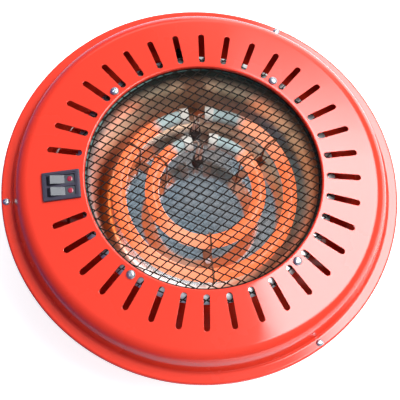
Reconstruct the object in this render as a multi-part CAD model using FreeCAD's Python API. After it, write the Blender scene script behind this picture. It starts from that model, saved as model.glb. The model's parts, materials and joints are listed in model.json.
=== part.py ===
import FreeCAD, Part
import math
import os
from FreeCAD import Placement, Rotation, Vector

os.makedirs("parts", exist_ok=True)

# Electric brazier: a round covered heater that stands on the floor.
# Millimetres. +Z is up, z = 0 under the feet, the axis of the round body is Z.
# The switch is on -X and the cable gland on +Y.

# Top cover
cover_radius = 170.0
cover_sheet = 1.0
rim_width = 9.6
hem_depth = 4.0
hem_bend = 2.0
wall_run = 6.1
wall_rise = 22.8
wall_bend = 3.0
shoulder_bend = 6.0
cone_rise = 9.0
opening_radius = 99.0
lip_depth = 4.0
lip_bend = 1.5

# Vent slots in the cone, two of them left out for the switch
slot_places = 36
slots_left_out = 2
slot_width = 5.0
slot_inset = 4.2
slot_length = 29.4

# Base pan
pan_sheet = 0.8
pan_height = 61.0
pan_mouth_inset = 4.4
pan_wall_run = 13.0
pan_mouth_bend = 3.0
pan_floor_bend = 8.0
pan_edge_gap = 0.2

# Guard mesh of expanded metal
mesh_margin = 11.6
mesh_sheet = 1.0
mesh_long_pitch = 13.9
mesh_short_pitch = 8.4
mesh_strand = 1.1
mesh_turn = 6.0

# Reflector bowl
bowl_sheet = 0.6
bowl_mouth_inset = 2.0
bowl_wall_run = 11.0
bowl_floor_drop = 44.0
bowl_mouth_bend = 5.0
bowl_floor_bend = 12.0

# Ring elements: milky tubes, each with a coil on cold pins
element_shift = 4.0
tube_radius = 6.0
tube_wall = 1.2
outer_ring_inset = 11.6
outer_ring_drop = 15.0
ring_spacing = 28.1
inner_ring_drop = 9.0
tube_end_gap = 20.0
coil_clearance = 1.2
cold_length = 32.0
pin_radius = 0.8
pin_spacing = 3.4
pin_bend = 2.0
pin_fit = 0.1
sleeve_wall = 0.5
sleeve_margin = 0.5
cap_wall = 1.2
cap_grip = 5.0
cap_end = 2.5
cap_fit = 0.05

# Twin-bore bushings under the ring ends
bushing_wall = 1.3
bushing_flange_width = 1.2
bushing_flange_height = 6.0
bushing_below = 3.0
bushing_fit = 0.1
outer_bushing_inset = 5.6
inner_bushing_inset = 4.8
pin_below_bushing = 2.0

# Element supports: a strap on the bowl, and a hook round each tube whose leg stands in the strap
support_angles = (-91.0, 33.0, 141.0)
strap_width = 8.0
strap_sheet = 1.0
strap_end = 3.0
wire_radius = 0.9
wire_fit = 0.1
hook_start = -90.0
rivet_radius = 1.5
rivet_head_radius = 2.6
rivet_head_height = 0.9
rivet_fit = 0.05

# Double rocker switch
switch_inset = 19.4
bezel_length = 31.5
bezel_width = 25.0
bezel_height = 2.2
bezel_corner = 1.5
bezel_edge = 0.7
bezel_end_overhang = 1.95
bezel_side_overhang = 1.1
switch_body_depth = 18.0
switch_floor = 1.5
switch_panel_fit = 0.2
switch_relief = 1.5
switch_end_wall = 1.8
switch_side_wall = 2.3
bay_partition = 2.4
partition_recess = 0.3
rocker_end_gap = 0.3
rocker_side_gap = 0.15
rocker_pivot_depth = 2.0
rocker_top = 4.5
rocker_dip = 1.3
rocker_bottom = 3.0
rocker_tilt = 12.0
trunnion_radius = 1.6
trunnion_fit = 0.05
trunnion_end_gap = 0.1
marker_radius = 2.3
marker_offset = 6.7
marker_depth = 1.4
marker_proud = 0.3
marker_edge = 0.25
marker_fit = 0.05
tab_width = 4.8
tab_thickness = 0.8
tab_length = 8.0
tab_offset = 7.0

# Screws with cross-recessed pan heads
recess_width = 0.9
recess_share = 0.55
recess_depth_share = 0.5
head_rim_share = 0.35
head_crown_share = 0.72
thread_fit = 0.03
hole_fit = 0.25
mesh_screw_angles = (50.0, 130.0, -130.0, -50.0)
mesh_screw_inset = 6.9
mesh_screw_head_radius = 3.75
mesh_screw_head_height = 2.4
mesh_screw_radius = 1.95
mesh_screw_length = 9.5
rim_screw_angles = (180.0, 60.0, -60.0)
rim_screw_inset = 4.4
rim_screw_head_radius = 3.0
rim_screw_head_height = 1.9
rim_screw_radius = 1.45
rim_screw_length = 8.0

# Rubber feet
foot_angles = (-90.0, 30.0, 150.0)
foot_inset = 25.0
foot_height = 12.0
foot_top_radius = 12.0
foot_bottom_radius = 10.0
foot_edge = 1.5
foot_recess_depth = 6.0
foot_screw_head_radius = 4.0
foot_screw_head_height = 2.6
foot_screw_radius = 2.0
foot_screw_reach = 5.0
foot_nut_flats = 7.0
foot_nut_height = 3.2

# Cable gland in the back of the pan wall
gland_rise = 21.2
gland_bore_radius = 3.6
gland_thread_wall = 2.4
gland_flange_width = 3.0
gland_flange_length = 3.0
gland_nose_width = 1.5
gland_nose_length = 9.0
gland_thread_length = 10.0
gland_nut_wall = 2.4
gland_nut_height = 4.0
gland_fit = 0.1

# Terminal block on the pan floor
block_inset = 35.0
block_width = 18.0
block_height = 14.0
block_pole_pitch = 9.0
block_pole_count = 4
block_end = 4.0
block_screw_radius = 1.6
block_screw_head_radius = 2.8
block_screw_head_height = 1.8
clamp_screw_radius = 1.8
clamp_screw_height = 3.0
clamp_screw_offset = 5.0
clamp_screw_fit = 0.1

# Leads and earth tag
lead_radius = 1.3
lead_bend = 5.0
lead_level = 5.5
live_lead_level = 12.0
lead_entry = 5.0
tab_drop = 18.0
live_lead_step = (8.0, 14.0)
live_lead_corner = (-66.0, 62.0)
live_lead_approach = 20.0
switched_lead_step = 5.0
switched_lead_corner = -55.0
outer_lead_way = (10.0, 46.0)
inner_lead_way = (-8.0, 12.0)
neutral_approach = 18.0
outer_neutral_way = (1.0, 78.0)
inner_neutral_way = (20.0, 62.0)
earth_lead_approach = 16.0
earth_lead_corner = 12.0
earth_side = 48.0
earth_inset = 30.0
earth_tag_width = 8.0
earth_tag_length = 16.0
earth_tag_sheet = 0.8
earth_barrel_radius = 2.2
earth_barrel_length = 7.0
earth_screw_head_radius = 3.5
earth_screw_head_height = 2.2
earth_screw_radius = 1.9
earth_screw_length = 7.0

# Tolerance for picking edges by place or direction
tolerance = 0.01

# Levels and radii that follow
rim_level = foot_height + pan_height + cover_sheet
wall_foot_radius = cover_radius - rim_width
shoulder_radius = wall_foot_radius - wall_run
cone_slope = cone_rise / (shoulder_radius - opening_radius)
cone_angle = math.degrees(math.atan(cone_slope))
cover_top = rim_level + wall_rise + cone_rise
slot_inner_radius = opening_radius + slot_inset
slot_outer_radius = slot_inner_radius + slot_length
mesh_radius = opening_radius + mesh_margin
mesh_screw_place_radius = opening_radius + mesh_screw_inset
rim_screw_place_radius = cover_radius - rim_screw_inset
switch_place_radius = opening_radius + switch_inset
mesh_top = cover_top - lip_depth
bowl_flange_radius = mesh_radius
bowl_mouth_radius = opening_radius - bowl_mouth_inset
bowl_floor_radius = bowl_mouth_radius - bowl_wall_run
bowl_flange_top = mesh_top - mesh_sheet
bowl_floor_top = rim_level - bowl_floor_drop
bowl_floor_bottom = bowl_floor_top - bowl_sheet
pan_mouth_radius = wall_foot_radius - pan_mouth_inset
pan_floor_radius = pan_mouth_radius - pan_wall_run
pan_flange_top = rim_level - cover_sheet
pan_floor_top = foot_height + pan_sheet
pan_flange_radius = cover_radius - hem_bend - pan_edge_gap
outer_ring_radius = bowl_floor_radius - outer_ring_inset
inner_ring_radius = outer_ring_radius - ring_spacing
coil_radius = tube_radius - tube_wall - coil_clearance
cap_radius = tube_radius + cap_wall
bushing_radius = pin_spacing / 2 + pin_radius + pin_fit + bushing_wall
bushing_flange_radius = bushing_radius + bushing_flange_width
pin_end_level = bowl_floor_bottom - bushing_below - pin_below_bushing
hook_radius = tube_radius + wire_fit + wire_radius
strap_inner_leg = inner_ring_radius - hook_radius
strap_outer_leg = outer_ring_radius - hook_radius
switch_body_length = bezel_length - 2 * bezel_end_overhang
switch_body_width = bezel_width - 2 * bezel_side_overhang
bay_length = switch_body_length - 2 * switch_end_wall
bay_width = switch_body_width - 2 * switch_side_wall
foot_place_radius = pan_floor_radius - foot_inset
gland_height = pan_floor_top + gland_rise
gland_thread_radius = gland_bore_radius + gland_thread_wall
gland_flange_radius = gland_thread_radius + gland_flange_width
gland_nose_radius = gland_thread_radius + gland_nose_width
gland_nut_flats = 2 * (gland_thread_radius + gland_fit + gland_nut_wall)
block_place = pan_floor_radius - block_inset
earth_place = Vector(earth_side, block_place - earth_inset, pan_floor_top)
axis = Vector(0, 0, 1)
centre = Vector(0, 0, 0)
element_centre = Vector(element_shift, 0, 0)


def cone_level(radius):
    return cover_top - (radius - opening_radius) * cone_slope


def polar(radius, angle, level=0.0):
    turn = math.radians(angle)
    return Vector(radius * math.cos(turn), radius * math.sin(turn), level)


def turned(shape, angle, about=centre):
    copy = shape.copy()
    copy.rotate(about, axis, angle)
    return copy


def placed(shape, placement):
    copy = shape.copy()
    copy.Placement = placement.multiply(copy.Placement)
    return copy


def save(shape, node):
    shape.exportStep(f"parts/{node}.step")


# Straight runs joined by tangent arcs. A radius belongs to each inner point.
def rounded_path(points, radii):
    edges = []
    start = points[0]
    for before, corner, after, radius in zip(points, points[1:], points[2:], radii):
        back = (before - corner).normalize()
        ahead = (after - corner).normalize()
        half = back.getAngle(ahead) / 2
        reach = radius / math.tan(half)
        arc_start = corner + back * reach
        arc_end = corner + ahead * reach
        middle = (back + ahead).normalize()
        arc_middle = corner + middle * (radius / math.sin(half) - radius)
        edges.append(Part.LineSegment(start, arc_start).toShape())
        edges.append(Part.Arc(arc_start, arc_middle, arc_end).toShape())
        start = arc_end
    edges.append(Part.LineSegment(start, points[-1]).toShape())
    return edges


# The same outline moved sideways by the sheet's thickness, to the left of its direction.
def offset_outline(points, thickness):
    moved = []
    runs = list(zip(points, points[1:]))
    sides = [axis_side(a, b) * thickness for a, b in runs]
    moved.append(points[0] + sides[0])
    for (before, corner), (_, after), side, next_side in zip(runs, runs[1:], sides, sides[1:]):
        along = (corner - before).normalize()
        ahead = (after - corner).normalize()
        turn = along.getAngle(ahead)
        bisector = (side + next_side).normalize()
        moved.append(corner + bisector * (abs(thickness) / math.cos(turn / 2)))
    moved.append(points[-1] + sides[-1])
    return moved


# Unit vector to the left of a run in the XZ plane, seen with X to the right and Z up.
def axis_side(start, end):
    run = (end - start).normalize()
    return Vector(-run.z, 0, run.x)


# A round sheet: the outline (radius, level) of one face, its bend radii, and the thickness
# laid on the left of the outline's direction.
def spun_sheet(outline, bends, thickness):
    points = [Vector(radius, 0, level) for radius, level in outline]
    other = offset_outline(points, thickness)
    other_bends = []
    for before, corner, after, bend in zip(points, points[1:], points[2:], bends):
        turns_left = (corner - before).cross(after - corner).y < 0
        other_bends.append(bend - thickness if turns_left else bend + thickness)
    near = rounded_path(points, bends)
    far = rounded_path(other, other_bends)
    first_end = Part.LineSegment(points[0], other[0]).toShape()
    last_end = Part.LineSegment(points[-1], other[-1]).toShape()
    wire = Part.Wire(Part.__sortEdges__(near + [last_end] + far + [first_end]))
    return Part.Face(wire).revolve(centre, axis, 360)


# A round body from its half outline (radius, level), closed along the axis.
def spun_body(outline):
    points = [Vector(radius, 0, level) for radius, level in outline]
    return Part.Face(Part.makePolygon(points + points[:1])).revolve(centre, axis, 360)


def tube(edges, radius):
    path = Part.Wire(edges)
    start = edges[0].valueAt(edges[0].FirstParameter)
    heading = edges[0].tangentAt(edges[0].FirstParameter)
    ring = Part.Wire(Part.makeCircle(radius, start, heading))
    return path.makePipeShell([ring], True, False)


def ring_segment(ring_radius, level, section_radius, start, end):
    middle = Vector(ring_radius, 0, level)
    section = Part.Face(Part.Wire(Part.makeCircle(section_radius, middle, Vector(0, 1, 0))))
    section.rotate(centre, axis, start)
    return section.revolve(centre, axis, end - start)


def hexagon(flats, height):
    corner = flats / math.sqrt(3)
    points = [polar(corner, 60 * i) for i in range(7)]
    return Part.Face(Part.makePolygon(points)).extrude(Vector(0, 0, height))


def box(length, width, height, level):
    corner = Vector(-length / 2, -width / 2, level)
    return Part.makeBox(length, width, height, corner)


# A pan-head screw, seat of its head at the origin, shank down.
def pan_screw(head_radius, head_height, shank_radius, length):
    rim = head_height * head_rim_share
    crown = Part.Arc(
        Vector(head_radius, 0, rim),
        Vector(head_radius * head_crown_share, 0, rim + (head_height - rim) * head_crown_share),
        Vector(0, 0, head_height),
    ).toShape()
    points = [
        Vector(0, 0, head_height),
        Vector(0, 0, -length),
        Vector(shank_radius, 0, -length + shank_radius),
        Vector(shank_radius, 0, 0),
        Vector(head_radius, 0, 0),
        Vector(head_radius, 0, rim),
    ]
    sides = Part.makePolygon(points).Edges
    screw = Part.Face(Part.Wire(sides + [crown])).revolve(centre, axis, 360)
    depth = head_height * recess_depth_share
    arm = 2 * head_radius * recess_share
    first = box(arm, recess_width, head_height, head_height - depth)
    second = box(recess_width, arm, head_height, head_height - depth)
    return screw.cut(first.fuse(second))


def slot_cutters():
    inner = slot_inner_radius + slot_width / 2
    outer = slot_outer_radius - slot_width / 2
    half = slot_width / 2
    low = rim_level
    height = cover_top - rim_level + cover_sheet
    sides = [
        Part.LineSegment(Vector(inner, -half, low), Vector(outer, -half, low)),
        Part.Arc(Vector(outer, -half, low), Vector(outer + half, 0, low), Vector(outer, half, low)),
        Part.LineSegment(Vector(outer, half, low), Vector(inner, half, low)),
        Part.Arc(Vector(inner, half, low), Vector(inner - half, 0, low), Vector(inner, -half, low)),
    ]
    slot = Part.Face(Part.Wire([side.toShape() for side in sides])).extrude(Vector(0, 0, height))
    pitch = 360.0 / slot_places
    first = 180 + pitch * (slots_left_out + 1) / 2
    return [turned(slot, first + pitch * i) for i in range(slot_places - slots_left_out)]


# Seats that tilt with the cone: local X runs down the cone, local Z stands on it.
def cone_seat(radius, angle):
    tilt = Rotation(Vector(0, 1, 0), cone_angle)
    return Placement(polar(radius, angle, cone_level(radius)), Rotation(axis, angle).multiply(tilt))


def mesh_screw_seats():
    return [cone_seat(mesh_screw_place_radius, angle) for angle in mesh_screw_angles]


def mesh_screw_holes(radius):
    drill = Part.makeCylinder(radius, 3 * mesh_screw_length, Vector(0, 0, -2 * mesh_screw_length))
    return [placed(drill, seat) for seat in mesh_screw_seats()]


def rim_screw_holes(radius):
    drill = Part.makeCylinder(radius, 3 * rim_screw_length, Vector(0, 0, -2 * rim_screw_length))
    places = [polar(rim_screw_place_radius, angle, rim_level) for angle in rim_screw_angles]
    return [placed(drill, Placement(place, Rotation())) for place in places]


switch_seat = cone_seat(switch_place_radius, 180.0)


# Room for the switch body in the sheets that it passes through.
def switch_window(gap):
    length = switch_body_length + 2 * gap
    width = switch_body_width + 2 * gap
    return placed(box(length, width, 2 * switch_body_depth, -switch_body_depth), switch_seat)


def make_top_cover():
    outline = [
        (cover_radius, rim_level - hem_depth),
        (cover_radius, rim_level),
        (wall_foot_radius, rim_level),
        (shoulder_radius, rim_level + wall_rise),
        (opening_radius, cover_top),
        (opening_radius, mesh_top),
    ]
    bends = [hem_bend, wall_bend, shoulder_bend, lip_bend]
    cover = spun_sheet(outline, bends, cover_sheet)
    cutters = slot_cutters()
    cutters += mesh_screw_holes(mesh_screw_radius + hole_fit)
    cutters += rim_screw_holes(rim_screw_radius + hole_fit)
    cutters.append(switch_window(switch_panel_fit))
    return cover.cut(cutters)


def make_base_pan():
    outline = [
        (0, pan_floor_top),
        (pan_floor_radius, pan_floor_top),
        (pan_mouth_radius, pan_flange_top),
        (pan_flange_radius, pan_flange_top),
    ]
    pan = spun_sheet(outline, [pan_floor_bend, pan_mouth_bend], -pan_sheet)
    cutters = rim_screw_holes(rim_screw_radius + thread_fit)
    through = 4 * pan_sheet
    for place in foot_places():
        cutters.append(Part.makeCylinder(foot_screw_radius + hole_fit, through, place - axis * through / 2))
    gland_drill = Part.makeCylinder(gland_thread_radius + hole_fit, 2 * gland_thread_length)
    gland_drill.translate(Vector(0, 0, -gland_thread_length))
    cutters.append(placed(gland_drill, gland_seat()))
    under = Vector(0, block_place, pan_floor_top - through / 2)
    cutters.append(Part.makeCylinder(block_screw_radius + thread_fit, through, under))
    under = earth_place - axis * through / 2
    cutters.append(Part.makeCylinder(earth_screw_radius + thread_fit, through, under))
    return pan.cut(cutters)


def foot_places():
    return [polar(foot_place_radius, angle, foot_height) for angle in foot_angles]


# The gland stands square to the pan wall: local Z points out of the pan.
def gland_seat():
    run = pan_mouth_radius - pan_floor_radius
    rise = pan_flange_top - pan_floor_top
    lean = math.degrees(math.atan2(run, rise))
    wall_radius = pan_floor_radius + run * (gland_height - pan_floor_top) / rise
    skin = pan_sheet / math.cos(math.radians(lean))
    place = Vector(0, wall_radius + skin, gland_height)
    return Placement(place, Rotation(Vector(1, 0, 0), -90 - lean))


# One face of strands with a rhombic gap at each place of the lattice.
def make_guard_mesh():
    along = mesh_long_pitch / 2
    across = mesh_short_pitch / 2
    side = math.hypot(along, across)
    shrink = 1 - mesh_strand * side / (2 * along * across)
    low = bowl_flange_top
    gap_points = [(along, 0), (0, across), (-along, 0), (0, -across)]
    gaps = []
    rows = int(mesh_radius / across) + 1
    columns = int(mesh_radius / mesh_long_pitch) + 1
    for row in range(-rows, rows + 1):
        stagger = along if row % 2 else 0.0
        for column in range(-columns - 1, columns + 1):
            x = column * mesh_long_pitch + stagger
            y = row * across
            if math.hypot(x, y) > mesh_radius - mesh_strand:
                continue
            points = [Vector(x + px * shrink, y + py * shrink, low) for px, py in gap_points]
            gaps.append(Part.Face(Part.makePolygon(points + points[:1])))
    disc = Part.Face(Part.Wire(Part.makeCircle(mesh_radius, Vector(0, 0, low))))
    strands = max(disc.cut(gaps).Faces, key=lambda face: face.Area)
    sheet = turned(strands.extrude(Vector(0, 0, mesh_sheet)), mesh_turn)
    cutters = mesh_screw_holes(mesh_screw_radius + hole_fit)
    cutters.append(switch_window(switch_relief))
    drilled = sheet.cut(cutters)
    return max(drilled.Solids, key=lambda solid: solid.Volume)


def make_reflector():
    outline = [
        (0, bowl_floor_top),
        (bowl_floor_radius, bowl_floor_top),
        (bowl_mouth_radius, bowl_flange_top),
        (bowl_flange_radius, bowl_flange_top),
    ]
    bowl = spun_sheet(outline, [bowl_floor_bend, bowl_mouth_bend], -bowl_sheet)
    through = 4 * bowl_sheet
    below = Vector(0, 0, bowl_floor_top - through / 2)
    cutters = mesh_screw_holes(mesh_screw_radius + thread_fit)
    cutters.append(switch_window(switch_relief))
    for place in bushing_places():
        cutters.append(Part.makeCylinder(bushing_radius + bushing_fit, through, place + below))
    for angle in support_angles:
        cutters.append(Part.makeCylinder(rivet_radius + rivet_fit, through, rivet_place(angle) + below))
    return bowl.cut(cutters)


def bushing_places():
    rings = [(outer_ring_radius, outer_bushing_inset), (inner_ring_radius, inner_bushing_inset)]
    return [element_centre + Vector(0, radius - inset, 0) for radius, inset in rings]


def rivet_place(angle):
    return element_centre + polar((strap_inner_leg + strap_outer_leg) / 2, angle)


def tube_end_angle(ring_radius):
    return math.degrees(tube_end_gap / 2 / ring_radius)


def make_ring_tube(ring_radius, level):
    half_gap = tube_end_angle(ring_radius)
    start = 90 + half_gap
    end = 450 - half_gap
    solid = ring_segment(ring_radius, level, tube_radius, start, end)
    bore = ring_segment(ring_radius, level, tube_radius - tube_wall, start, end)
    ring = solid.cut(bore)
    ring.translate(element_centre)
    return ring


# The cap at the end on the +X side. The other one is its mirror image.
def make_tube_cap(ring_radius, level, mirrored):
    end = 90 - tube_end_angle(ring_radius)
    grip = math.degrees(cap_grip / ring_radius)
    thickness = math.degrees(cap_end / ring_radius)
    body = ring_segment(ring_radius, level, cap_radius, end - grip, end + thickness)
    socket = ring_segment(ring_radius, level, tube_radius + cap_fit, end - grip, end)
    hole = ring_segment(ring_radius, level, pin_radius + pin_fit, end, end + thickness)
    cap = body.cut([socket, hole])
    if mirrored:
        cap = cap.mirror(centre, Vector(1, 0, 0))
    cap.translate(element_centre)
    return cap


# The coil as one round rod, and its two pins, which turn in and go down through the bushing.
def make_coil(ring_radius, level, inset):
    cold = math.degrees(cold_length / ring_radius)
    coil = ring_segment(ring_radius, level, coil_radius, 90 + cold, 450 - cold)
    leave = math.radians(tube_end_angle(ring_radius) - math.degrees(cap_end / ring_radius))
    side = pin_spacing / 2
    arc_end = Vector(ring_radius * math.sin(leave), ring_radius * math.cos(leave), level)
    corner = Vector(side, arc_end.y + (arc_end.x - side) * math.tan(leave), level)
    over = Vector(side, ring_radius - inset, level)
    foot = Vector(side, ring_radius - inset, pin_end_level)
    pin = ring_segment(ring_radius, level, pin_radius, 90 - cold, 90 - math.degrees(leave))
    drop = tube(rounded_path([arc_end, corner, over, foot], [pin_bend, pin_bend]), pin_radius)
    pin = pin.fuse(drop)
    whole = coil.fuse([pin, pin.mirror(centre, Vector(1, 0, 0))]).removeSplitter()
    whole.translate(element_centre)
    return whole


def make_bushing(place):
    flange = Part.makeCylinder(bushing_flange_radius, bushing_flange_height, Vector(0, 0, bowl_floor_top))
    length = bushing_below + bowl_sheet
    body = Part.makeCylinder(bushing_radius, length, Vector(0, 0, bowl_floor_top - length))
    bushing = flange.fuse(body).removeSplitter()
    for side in (-1, 1):
        bore_base = Vector(side * pin_spacing / 2, 0, bowl_floor_top - length)
        bore = Part.makeCylinder(pin_radius + pin_fit, length + bushing_flange_height, bore_base)
        bushing = bushing.cut(bore)
    bushing.translate(place)
    return bushing


# Ceramic sleeves on the two pins, between the bushing and the bend above it.
def make_sleeves(ring_radius, level, inset):
    low = bowl_floor_top + bushing_flange_height
    length = level - pin_bend - sleeve_margin - low
    bore_radius = pin_radius + pin_fit
    sleeves = []
    for side in (-1, 1):
        base = element_centre + Vector(side * pin_spacing / 2, ring_radius - inset, low)
        bore = Part.makeCylinder(bore_radius, length, base)
        sleeves.append(Part.makeCylinder(bore_radius + sleeve_wall, length, base).cut(bore))
    return Part.makeCompound(sleeves)


# From under the tube round its outer side and over it, then down to the bowl on its inner side.
def make_hook(ring_radius, level, angle):
    middle = Vector(ring_radius, 0, level)
    turns = [math.radians(hook_start + (180 - hook_start) * i / 4) for i in range(5)]
    stops = [middle + Vector(math.cos(turn), 0, math.sin(turn)) * hook_radius for turn in turns]
    foot = Vector(stops[-1].x, 0, bowl_floor_top + wire_fit)
    path = [
        Part.Arc(*stops[:3]).toShape(),
        Part.Arc(*stops[2:]).toShape(),
        Part.LineSegment(stops[-1], foot).toShape(),
    ]
    hook = turned(tube(path, wire_radius), angle)
    hook.translate(element_centre)
    return hook


def make_support_strap(angle):
    corner = Vector(strap_inner_leg - strap_end, -strap_width / 2, bowl_floor_top)
    length = strap_outer_leg - strap_inner_leg + 2 * strap_end
    strap = Part.makeBox(length, strap_width, strap_sheet, corner)
    drills = [(strap_inner_leg, wire_radius + wire_fit), (strap_outer_leg, wire_radius + wire_fit)]
    drills.append(((strap_inner_leg + strap_outer_leg) / 2, rivet_radius + rivet_fit))
    for place, radius in drills:
        strap = strap.cut(Part.makeCylinder(radius, strap_sheet, Vector(place, 0, bowl_floor_top)))
    strap = turned(strap, angle)
    strap.translate(element_centre)
    return strap


def make_strap_rivets():
    stack = strap_sheet + bowl_sheet
    head_base = Vector(0, 0, bowl_floor_top + strap_sheet)
    head = Part.makeCylinder(rivet_head_radius, rivet_head_height, head_base)
    shank = Part.makeCylinder(rivet_radius, stack, Vector(0, 0, bowl_floor_bottom))
    tail_base = Vector(0, 0, bowl_floor_bottom - rivet_head_height)
    tail = Part.makeCylinder(rivet_head_radius, rivet_head_height, tail_base)
    rivet = head.fuse([shank, tail]).removeSplitter()
    seats = [Placement(rivet_place(angle), Rotation()) for angle in support_angles]
    return Part.makeCompound([placed(rivet, seat) for seat in seats])


def upright_edges(shape):
    return [edge for edge in shape.Edges if abs(edge.tangentAt(edge.FirstParameter).z) > 1 - tolerance]


def make_switch_housing():
    bezel = box(bezel_length, bezel_width, bezel_height, 0)
    bezel = bezel.makeFillet(bezel_corner, upright_edges(bezel))
    top = [edge for edge in bezel.Edges if edge.BoundBox.ZMin > bezel_height - tolerance]
    bezel = bezel.makeFillet(bezel_edge, top)
    body = box(switch_body_length, switch_body_width, switch_body_depth, -switch_body_depth)
    bay_depth = switch_body_depth - switch_floor
    bay = box(bay_length, bay_width, bay_depth + 2 * bezel_height, -bay_depth)
    partition = box(bay_length, bay_partition, bay_depth + bezel_height - partition_recess, -bay_depth)
    pivot_base = Vector(0, -switch_body_width, -rocker_pivot_depth)
    pivot_radius = trunnion_radius + trunnion_fit
    pivot = Part.makeCylinder(pivot_radius, 2 * switch_body_width, pivot_base, Vector(0, 1, 0))
    housing = body.fuse(bezel).cut(bay).fuse(partition).removeSplitter().cut(pivot)
    return placed(housing, switch_seat)


# Centre of a rocker across the switch, for side -1 or +1.
def rocker_centre(side):
    return side * (bay_width + bay_partition) / 4


def rocker_width():
    return (bay_width - bay_partition) / 2 - 2 * rocker_side_gap


# The top of the rocker is two flats that dip to its middle.
def rocker_top_level(x):
    return rocker_top - rocker_dip * (1 - abs(x) / rocker_top_reach())


def rocker_sweep():
    return bay_length / 2 - rocker_end_gap


def rocker_top_reach():
    return math.sqrt(rocker_sweep() ** 2 - rocker_top ** 2)


# Rest pose: the outer end is up.
def rocker_rest():
    lift = Placement(Vector(0, 0, -rocker_pivot_depth), Rotation(Vector(0, 1, 0), -rocker_tilt))
    return switch_seat.multiply(lift)


# The marker stands square to the rocker's inner flat: local Z points out of the flat.
def marker_seat():
    slope = math.degrees(math.atan(rocker_dip / rocker_top_reach()))
    place = Vector(-marker_offset, 0, rocker_top_level(marker_offset))
    return Placement(place, Rotation(Vector(0, 1, 0), slope))


def make_rocker(side):
    reach = rocker_sweep()
    top = rocker_top_reach()
    bottom = math.sqrt(reach ** 2 - rocker_bottom ** 2)
    half = rocker_width() / 2
    corners = [
        Vector(bottom, -half, -rocker_bottom),
        Vector(top, -half, rocker_top),
        Vector(-top, -half, rocker_top),
        Vector(-bottom, -half, -rocker_bottom),
    ]
    middle = Vector(0, -half, rocker_top_level(0))
    sides = [
        Part.Arc(corners[0], Vector(reach, -half, 0), corners[1]),
        Part.LineSegment(corners[1], middle),
        Part.LineSegment(middle, corners[2]),
        Part.Arc(corners[2], Vector(-reach, -half, 0), corners[3]),
        Part.LineSegment(corners[3], corners[0]),
    ]
    body = Part.Face(Part.Wire([edge.toShape() for edge in sides])).extrude(Vector(0, 2 * half, 0))
    inner_end = half + rocker_side_gap + bay_partition / 2 - trunnion_end_gap
    outer_end = half + rocker_side_gap + (switch_body_width - bay_width) / 2 - trunnion_end_gap
    low = -inner_end if side > 0 else -outer_end
    pin = Part.makeCylinder(trunnion_radius, inner_end + outer_end, Vector(0, low, 0), Vector(0, 1, 0))
    pocket = Part.makeCylinder(marker_radius + marker_fit, 2 * marker_depth, Vector(0, 0, -marker_depth))
    rocker = body.fuse(pin).removeSplitter().cut(placed(pocket, marker_seat()))
    rocker.translate(Vector(0, rocker_centre(side), 0))
    return placed(rocker, rocker_rest())


def make_marker(side):
    marker = Part.makeCylinder(marker_radius, marker_depth + marker_proud, Vector(0, 0, -marker_depth))
    top = [edge for edge in marker.Edges if edge.BoundBox.ZMin > marker_proud - tolerance]
    marker = placed(marker.makeFillet(marker_edge, top), marker_seat())
    marker.translate(Vector(0, rocker_centre(side), 0))
    return placed(marker, rocker_rest())


# Common tab on the inner side, one switched tab for each rocker on the outer side.
def tab_places():
    return [(-tab_offset, 0.0), (tab_offset, rocker_centre(-1)), (tab_offset, rocker_centre(1))]


def make_switch_tabs():
    low = -switch_body_depth - tab_length
    tabs = []
    for x, y in tab_places():
        corner = Vector(x - tab_thickness / 2, y - tab_width / 2, low)
        tabs.append(placed(Part.makeBox(tab_thickness, tab_width, tab_length, corner), switch_seat))
    return Part.makeCompound(tabs)


def make_mesh_screws():
    screw = pan_screw(mesh_screw_head_radius, mesh_screw_head_height, mesh_screw_radius, mesh_screw_length)
    return Part.makeCompound([placed(screw, seat) for seat in mesh_screw_seats()])


def make_rim_screws():
    screw = pan_screw(rim_screw_head_radius, rim_screw_head_height, rim_screw_radius, rim_screw_length)
    places = [polar(rim_screw_place_radius, angle, rim_level) for angle in rim_screw_angles]
    turns = [Rotation(axis, angle) for angle in rim_screw_angles]
    return Part.makeCompound([placed(screw, Placement(place, turn)) for place, turn in zip(places, turns)])


def make_foot(place):
    outline = [(0, 0), (foot_bottom_radius - foot_edge, 0), (foot_bottom_radius, foot_edge)]
    outline += [(foot_top_radius, foot_height), (0, foot_height)]
    foot = spun_body(outline)
    recess = Part.makeCylinder(foot_screw_head_radius + hole_fit, foot_recess_depth)
    hole = Part.makeCylinder(foot_screw_radius + hole_fit, 2 * foot_height)
    foot = foot.cut(recess.fuse(hole))
    foot.translate(Vector(place.x, place.y, 0))
    return foot


# The screws point up: heads in the feet, nuts on the pan floor.
def make_foot_screws():
    length = foot_height - foot_recess_depth + pan_sheet + foot_screw_reach
    screw = pan_screw(foot_screw_head_radius, foot_screw_head_height, foot_screw_radius, length)
    over = Rotation(Vector(1, 0, 0), 180)
    seats = [Placement(Vector(place.x, place.y, foot_recess_depth), over) for place in foot_places()]
    return Part.makeCompound([placed(screw, seat) for seat in seats])


def make_foot_nuts():
    bore = Part.makeCylinder(foot_screw_radius + thread_fit, foot_nut_height)
    nut = hexagon(foot_nut_flats, foot_nut_height).cut(bore)
    seats = [Placement(Vector(place.x, place.y, pan_floor_top), Rotation()) for place in foot_places()]
    return Part.makeCompound([placed(nut, seat) for seat in seats])


def make_cable_gland():
    outline = [
        (gland_bore_radius, -gland_thread_length),
        (gland_thread_radius, -gland_thread_length),
        (gland_thread_radius, 0),
        (gland_flange_radius, 0),
        (gland_flange_radius, gland_flange_length),
        (gland_nose_radius, gland_flange_length),
        (gland_nose_radius, gland_nose_length),
        (gland_bore_radius, gland_nose_length),
    ]
    return placed(spun_body(outline), gland_seat())


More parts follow.
